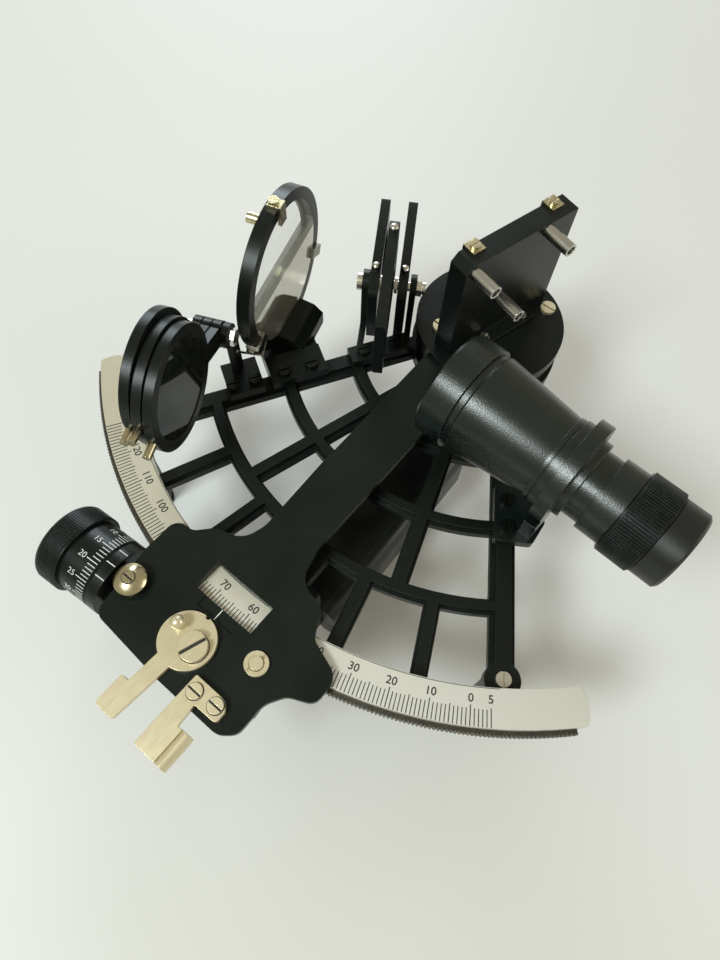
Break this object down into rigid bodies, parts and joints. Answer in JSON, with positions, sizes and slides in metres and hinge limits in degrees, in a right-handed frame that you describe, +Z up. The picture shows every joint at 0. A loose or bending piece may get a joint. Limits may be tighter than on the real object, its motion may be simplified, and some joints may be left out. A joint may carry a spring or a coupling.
{
  "type": "sextant",
  "caption": "Marine micrometer sextant with index arm, worm drum, telescope, two mirrors and hinged index and horizon shades, standing on its legs.",
  "frame": {"origin": "on the index arm's pivot axis, in the plane that the legs stand on", "axes": "+Z up along the pivot axis, -Y from the pivot along the frame's centre line to the middle of the limb, +X to the side of the eyepiece"},
  "size_m": [0.2292, 0.24, 0.1347],
  "materials": {
    "black_enamel": "satin black enamel on light alloy",
    "black_plastic": "satin black",
    "limb_metal": "brushed",
    "rack_bronze": "darkened, cut teeth",
    "steel": "turned",
    "pale_brass": "worn bright, pale",
    "brass": "turned",
    "lens_glass": "coated",
    "horizon_glass": "half silvered",
    "mirror": "polished",
    "shade_glass": "very dark"
  },
  "bodies": {
    "frame": {"frame_casting": "black_enamel", "limb_arc": "limb_metal", "limb_rack": "rack_bronze", "pivot_bush": "brass", "pivot_leg": "black_enamel", "arc_legs": "black_enamel", "handle_grip": "black_plastic", "handle_brackets": "black_enamel", "frame_screws": "steel", "telescope_bracket": "black_enamel", "telescope_tube": "black_enamel", "objective_cell": "black_enamel", "objective_lens": "lens_glass", "horizon_bracket": "black_enamel", "horizon_ring": "black_enamel", "horizon_glass": "horizon_glass", "horizon_clips": "pale_brass", "index_shade_bracket": "black_enamel", "index_shade_pin": "pale_brass", "horizon_shade_bracket": "black_enamel", "horizon_shade_pin": "pale_brass", "shade_washers": "pale_brass"},
    "index_arm": {"arm_plate": "black_enamel", "arm_disc": "black_enamel", "pivot_shaft": "steel", "pivot_nut": "brass", "index_mirror_frame": "black_enamel", "index_mirror_glass": "mirror", "index_mirror_clips": "pale_brass", "index_mirror_studs": "steel", "finger_piece": "pale_brass", "arm_screws": "pale_brass", "carriage_pivot": "pale_brass", "lever_screw": "pale_brass", "ring_nut": "pale_brass", "worm_spring": "steel"},
    "release_lever": {"release_lever": "pale_brass"},
    "worm_carriage": {"worm_carriage": "black_enamel", "index_collar": "black_enamel"},
    "micrometer": {"worm_shaft": "steel", "micrometer_drum": "black_enamel", "micrometer_knob": "black_enamel"},
    "focus_ring": {"focus_ring": "black_enamel"},
    "eyepiece": {"eyepiece": "black_plastic", "eye_lens": "lens_glass"},
    "index_shade_1": {"index_shade_1": "black_enamel", "index_shade_glass_1": "shade_glass"},
    "horizon_shade_1": {"horizon_shade_1": "black_enamel", "horizon_shade_glass_1": "shade_glass", "horizon_shade_knob_1": "brass"},
    "index_shade_2": {"index_shade_2": "black_enamel", "index_shade_glass_2": "shade_glass"},
    "horizon_shade_2": {"horizon_shade_2": "black_enamel", "horizon_shade_glass_2": "shade_glass", "horizon_shade_knob_2": "brass"},
    "index_shade_3": {"index_shade_3": "black_enamel", "index_shade_glass_3": "shade_glass"},
    "horizon_shade_3": {"horizon_shade_3": "black_enamel", "horizon_shade_glass_3": "shade_glass", "horizon_shade_knob_3": "brass"}
  },
  "joints": [
    {"name": "index_arm_turn", "type": "hinge", "parent": "frame", "child": "index_arm", "pos_m": [0, 0, 0.0755], "axis": [0, 0, 1], "range_deg": [-32.35, 35.15]},
    {"name": "release_lever_squeeze", "type": "hinge", "parent": "index_arm", "child": "release_lever", "pos_m": [-0.00179, -0.17551, 0.0788], "axis": [0, 0, 1], "range_deg": [0, 14]},
    {"name": "worm_carriage_swing", "type": "hinge", "parent": "index_arm", "child": "worm_carriage", "pos_m": [-0.03459, -0.1722, 0.0755], "axis": [0, 0, 1], "range_deg": [-5.6, 0]},
    {"name": "micrometer_turn", "type": "hinge", "parent": "worm_carriage", "child": "micrometer", "pos_m": [0.00897, -0.17106, 0.0695], "axis": [0.9986, 0.0523, 0], "continuous": true},
    {"name": "focus_ring_turn", "type": "hinge", "parent": "frame", "child": "focus_ring", "pos_m": [0.0094, -0.0486, 0.0996], "axis": [0.9976, -0.0698, 0], "range_deg": [0, 270]},
    {"name": "eyepiece_slide", "type": "slide", "parent": "frame", "child": "eyepiece", "axis": [0.9976, -0.0698, 0], "range_m": [0, 0.006]},
    {"name": "index_shade_1_turn", "type": "hinge", "parent": "frame", "child": "index_shade_1", "pos_m": [-0.04539, -0.02148, 0.0899], "axis": [0.8599, 0.5105, 0], "range_deg": [0, 179]},
    {"name": "index_shade_2_turn", "type": "hinge", "parent": "frame", "child": "index_shade_2", "pos_m": [-0.04539, -0.02148, 0.0899], "axis": [0.8599, 0.5105, 0], "range_deg": [-179, 0]},
    {"name": "index_shade_3_turn", "type": "hinge", "parent": "frame", "child": "index_shade_3", "pos_m": [-0.04539, -0.02148, 0.0899], "axis": [0.8599, 0.5105, 0], "range_deg": [0, 179]},
    {"name": "horizon_shade_1_turn", "type": "hinge", "parent": "frame", "child": "horizon_shade_1", "pos_m": [-0.0751, -0.0839, 0.095], "axis": [0.9205, 0.3907, 0], "range_deg": [-149.9, 0]},
    {"name": "horizon_shade_2_turn", "type": "hinge", "parent": "frame", "child": "horizon_shade_2", "pos_m": [-0.0751, -0.0839, 0.095], "axis": [0.9205, 0.3907, 0], "range_deg": [-153.9, 0]},
    {"name": "horizon_shade_3_turn", "type": "hinge", "parent": "frame", "child": "horizon_shade_3", "pos_m": [-0.0751, -0.0839, 0.095], "axis": [0.9205, 0.3907, 0], "range_deg": [-155.9, 0]}
  ],
  "couplings": [
    {"joint": "worm_carriage_swing", "follows": "release_lever_squeeze", "ratio": -0.383},
    {"joint": "eyepiece_slide", "follows": "focus_ring_turn", "m_per_rad": 0.001273}
  ]
}
